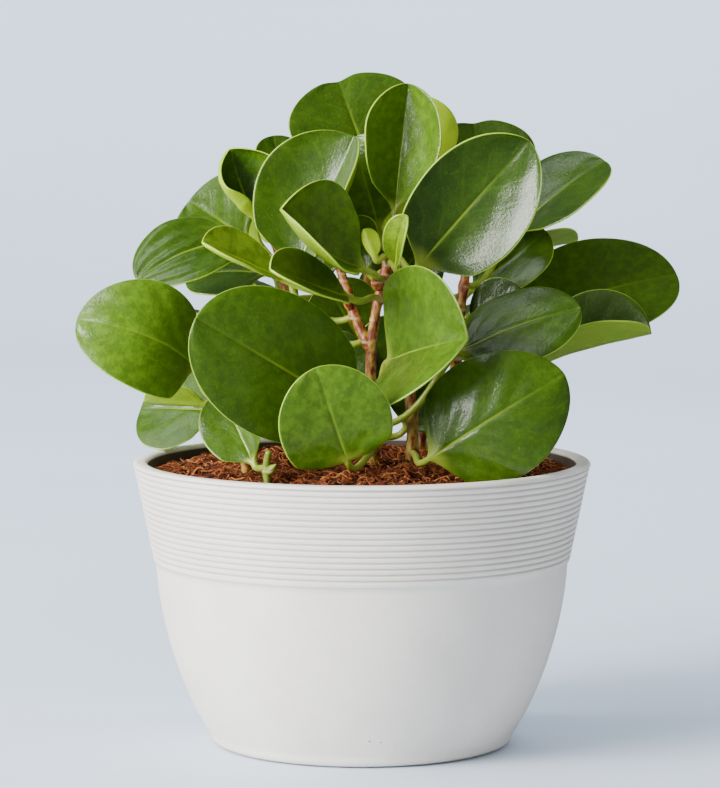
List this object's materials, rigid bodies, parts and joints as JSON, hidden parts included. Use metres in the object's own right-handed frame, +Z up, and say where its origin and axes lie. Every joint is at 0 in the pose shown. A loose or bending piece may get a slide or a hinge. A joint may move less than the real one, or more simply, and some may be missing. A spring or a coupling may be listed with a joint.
{
  "type": "potted rubber plant",
  "caption": "Bushy house plant with thick spoon-shaped leaves on short stems, in a matt white bowl pot with a ribbed band under the rim.",
  "frame": {"origin": "centre of the pot's flat base, on the surface it stands on", "axes": "+Z up along the pot's axis, -Y towards the plant's front as pictured, +X to its right"},
  "size_m": [0.2628, 0.2162, 0.2932],
  "materials": {
    "pot_clay": "matt warm white, unglazed, with a few fine dark specks",
    "soil_and_coir": "rough, damp reddish-brown coir fibre over potting soil",
    "stem_skin": "satin, reddish brown with darker freckles",
    "grown_leaf": "waxy, semi-gloss dark green with a thin pale margin",
    "young_leaf": "waxy, semi-gloss lime green"
  },
  "bodies": {
    "root": {"leaf_centre_folded": "grown_leaf", "leaf_centre_left": "grown_leaf", "leaf_centre_low": "grown_leaf", "leaf_crown_behind": "young_leaf", "leaf_crown_centre": "grown_leaf", "leaf_crown_inner": "grown_leaf", "leaf_crown_left": "grown_leaf", "leaf_crown_right": "grown_leaf", "leaf_front_left": "grown_leaf", "leaf_front_right": "grown_leaf", "leaf_front_round": "grown_leaf", "leaf_left_back": "grown_leaf", "leaf_left_bright": "grown_leaf", "leaf_left_cup": "young_leaf", "leaf_left_low": "grown_leaf", "leaf_left_ridged": "grown_leaf", "leaf_left_rimmed": "young_leaf", "leaf_left_turned": "grown_leaf", "leaf_left_under": "grown_leaf", "leaf_left_upper": "grown_leaf", "leaf_rear_crown": "grown_leaf", "leaf_rear_left_high": "grown_leaf", "leaf_rear_left_low": "grown_leaf", "leaf_rear_left_mid": "grown_leaf", "leaf_rear_left_side": "grown_leaf", "leaf_rear_left_top": "grown_leaf", "leaf_rear_low": "grown_leaf", "leaf_rear_mid_left": "grown_leaf", "leaf_rear_mid_right": "grown_leaf", "leaf_rear_right_high": "grown_leaf", "leaf_rear_right_low": "grown_leaf", "leaf_rear_right_mid": "grown_leaf", "leaf_rear_right_side": "grown_leaf", "leaf_rear_top": "grown_leaf", "leaf_right_drooping": "grown_leaf", "leaf_right_folded": "grown_leaf", "leaf_right_inner": "grown_leaf", "leaf_right_large": "grown_leaf", "leaf_right_low": "grown_leaf", "leaf_sprout_folded": "grown_leaf", "leaf_top": "grown_leaf", "leaf_upper_back": "grown_leaf", "leaf_upper_right": "grown_leaf", "leaf_young_left": "young_leaf", "leaf_young_right": "young_leaf", "pot": "pot_clay", "soil": "soil_and_coir", "stem_back_centre": "stem_skin", "stem_back_left": "stem_skin", "stem_back_right": "stem_skin", "stem_centre": "stem_skin", "stem_front_right": "stem_skin", "stem_left": "stem_skin", "stem_rear_left": "stem_skin", "stem_rear_right": "stem_skin", "stem_sprout": "stem_skin"}
  },
  "joints": []
}
